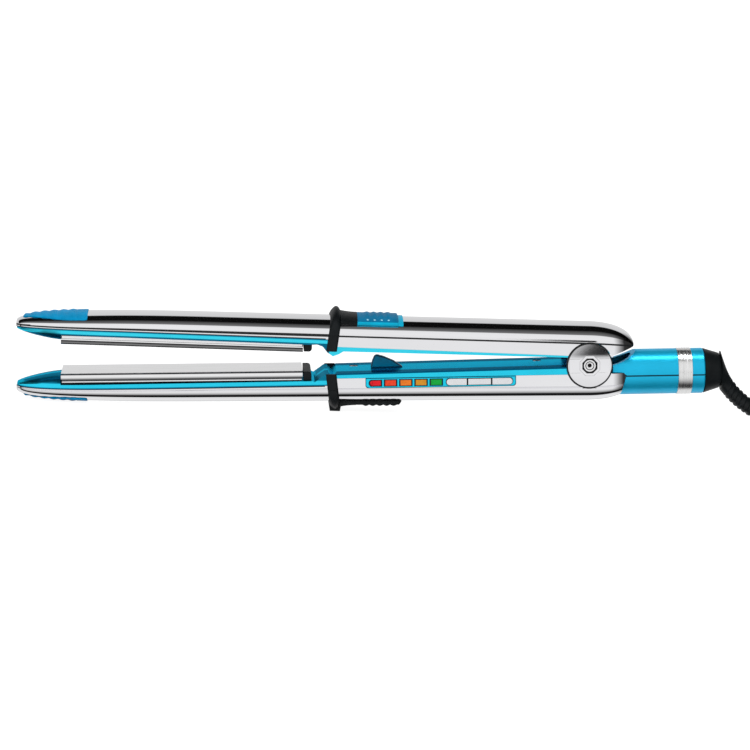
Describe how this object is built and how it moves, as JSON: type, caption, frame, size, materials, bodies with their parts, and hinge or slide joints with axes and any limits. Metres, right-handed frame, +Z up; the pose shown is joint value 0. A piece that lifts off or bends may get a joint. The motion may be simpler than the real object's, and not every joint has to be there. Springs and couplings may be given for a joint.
{
  "type": "hair straightener",
  "caption": "Hair straightener with two hinged chromed arms, sprung hot plates, ribbed grips, lamps and keys on one side, and a swivelling mains cord wound in a hank.",
  "frame": {"origin": "middle of the bounding box's bottom, measured without the strain relief, cord, hank, tie and plug; the tool rests on Z = 0 on its lower nose grip and its lower finger rest", "axes": "+X along the upper arm from the nose towards the hinge and cord, +Z up, -Y is the side with the lamps and keys"},
  "size_m": [0.5864, 0.056, 0.0553],
  "materials": {
    "chrome": "mirror-bright chromed shell",
    "blue": "satin metallic blue lacquer",
    "blue_rubber": "soft satin rubber",
    "plate_metal": "fine polished titanium-coated plate",
    "black_rubber": "soft matt rubber",
    "cord_black": "matt cord sheath",
    "tie_strap": "woven strap",
    "fin_plastic": "glossy dark blue moulding",
    "steel": "satin steel",
    "cast_aluminium": "as cast",
    "ceramic": "white ceramic",
    "sensor_glass": "small resin bead",
    "silicone": "red silicone foam",
    "silver_keys": "plated key caps",
    "lamp_red": "tinted lens",
    "lamp_scarlet": "tinted lens",
    "lamp_orange": "tinted lens",
    "lamp_amber": "tinted lens",
    "lamp_green": "tinted lens",
    "board_green": "solder mask",
    "led_white": "clear resin",
    "switch_black": "moulded",
    "brass": "plated brass",
    "wire_red": "silicone sheath"
  },
  "bodies": {
    "lower_arm": {"lower_shell": "chrome", "lower_liner": "blue", "lower_cushions": "silicone", "lower_plate_stop": "black_rubber", "lower_tip_grip": "blue_rubber", "lower_finger_rest": "black_rubber", "control_bezel": "blue", "lamp_red": "lamp_red", "lamp_scarlet": "lamp_scarlet", "lamp_orange": "lamp_orange", "lamp_amber": "lamp_amber", "lamp_green": "lamp_green", "circuit_board": "board_green", "lamp_leds": "led_white", "button_switches": "switch_black", "alignment_fin": "fin_plastic", "hinge_pin": "steel", "front_hinge_cap": "chrome", "back_hinge_cap": "chrome", "hinge_screws": "steel", "hinge_spring": "steel", "barrel_upper": "blue", "barrel_lower": "blue", "barrel_ring": "steel", "contact_brushes": "brass", "power_wires": "wire_red", "lower_liner_screws": "steel"},
    "upper_arm": {"upper_shell": "chrome", "upper_liner": "blue", "upper_cushions": "silicone", "upper_plate_stop": "black_rubber", "upper_tip_grip": "blue_rubber", "upper_finger_rest": "black_rubber", "upper_finger_pad": "blue_rubber", "upper_liner_screws": "steel"},
    "upper_hot_plate": {"upper_plate": "plate_metal", "upper_carrier": "cast_aluminium", "upper_heater": "ceramic", "upper_sensor": "sensor_glass"},
    "lower_hot_plate": {"lower_plate": "plate_metal", "lower_carrier": "cast_aluminium", "lower_heater": "ceramic", "lower_sensor": "sensor_glass"},
    "power_key": {"power_button": "silver_keys"},
    "plus_key": {"plus_button": "silver_keys"},
    "minus_key": {"minus_button": "silver_keys"},
    "cord_swivel": {"swivel_cone": "black_rubber", "slip_rings": "brass", "strain_relief": "black_rubber", "cord_lead": "cord_black", "cord_hank": "cord_black", "cord_tail": "cord_black", "hank_tie": "tie_strap", "plug_body": "cord_black", "plug_blades": "brass"}
  },
  "joints": [
    {"name": "arm_hinge", "type": "hinge", "parent": "lower_arm", "child": "upper_arm", "pos_m": [0.1153, 0, 0.03161], "axis": [0, -1, 0], "range_deg": [0, 3.2], "stiffness_Nm_per_rad": 1.2, "springref_deg": -9.74},
    {"name": "upper_plate_float", "type": "slide", "parent": "upper_arm", "child": "upper_hot_plate", "axis": [0, 0, 1], "range_m": [0, 0.0008], "stiffness_N_per_m": 4000, "springref_m": -0.0005},
    {"name": "lower_plate_float", "type": "slide", "parent": "lower_arm", "child": "lower_hot_plate", "axis": [0.0558, 0, -0.9984], "range_m": [0, 0.0008], "stiffness_N_per_m": 4000, "springref_m": -0.0005},
    {"name": "power_press", "type": "slide", "parent": "lower_arm", "child": "power_key", "axis": [0, 1, 0], "range_m": [0, 0.0006], "stiffness_N_per_m": 800, "springref_m": -0.0006},
    {"name": "plus_press", "type": "slide", "parent": "lower_arm", "child": "plus_key", "axis": [0, 1, 0], "range_m": [0, 0.0006], "stiffness_N_per_m": 800, "springref_m": -0.0006},
    {"name": "minus_press", "type": "slide", "parent": "lower_arm", "child": "minus_key", "axis": [0, 1, 0], "range_m": [0, 0.0006], "stiffness_N_per_m": 800, "springref_m": -0.0006},
    {"name": "cord_swivel_turn", "type": "hinge", "parent": "lower_arm", "child": "cord_swivel", "pos_m": [0.18156, 0, 0.02875], "axis": [0.9984, 0, 0.0558], "continuous": true}
  ]
}
